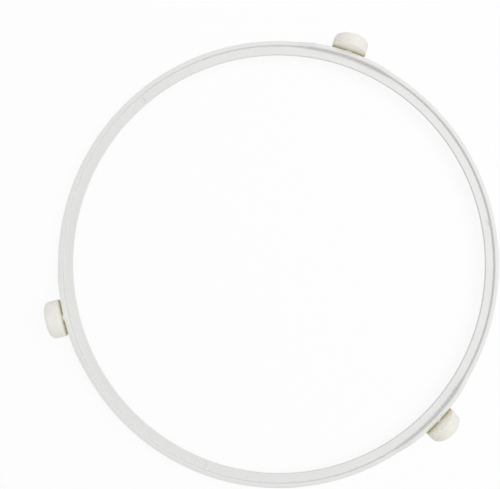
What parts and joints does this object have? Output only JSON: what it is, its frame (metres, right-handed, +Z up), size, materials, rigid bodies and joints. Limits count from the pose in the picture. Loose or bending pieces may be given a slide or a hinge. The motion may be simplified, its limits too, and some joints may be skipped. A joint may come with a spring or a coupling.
{
  "type": "microwave roller ring",
  "caption": "Moulded plastic ring with free-turning rollers on stub axles round its rim, which carries a turntable plate on an oven floor.",
  "frame": {"origin": "on the ring's axis, in the plane that the rollers roll on", "axes": "+Z up along the ring's axis, +X outwards along the first roller's axle"},
  "size_m": [0.2066, 0.2, 0.016],
  "materials": {
    "ring_plastic": "white moulded plastic, satin",
    "roller_plastic": "cream moulded plastic, satin"
  },
  "bodies": {
    "ring": {"ring": "ring_plastic"},
    "roller_1": {"roller_1": "roller_plastic"},
    "roller_2": {"roller_2": "roller_plastic"},
    "roller_3": {"roller_3": "roller_plastic"}
  },
  "joints": [
    {"name": "roller_1_spin", "type": "hinge", "parent": "ring", "child": "roller_1", "pos_m": [0.10365, 0, 0.008], "axis": [1, 0, 0], "continuous": true},
    {"name": "roller_2_spin", "type": "hinge", "parent": "ring", "child": "roller_2", "pos_m": [-0.05183, 0.08976, 0.008], "axis": [-0.5, 0.866, 0], "continuous": true},
    {"name": "roller_3_spin", "type": "hinge", "parent": "ring", "child": "roller_3", "pos_m": [-0.05183, -0.08976, 0.008], "axis": [-0.5, -0.866, 0], "continuous": true}
  ]
}
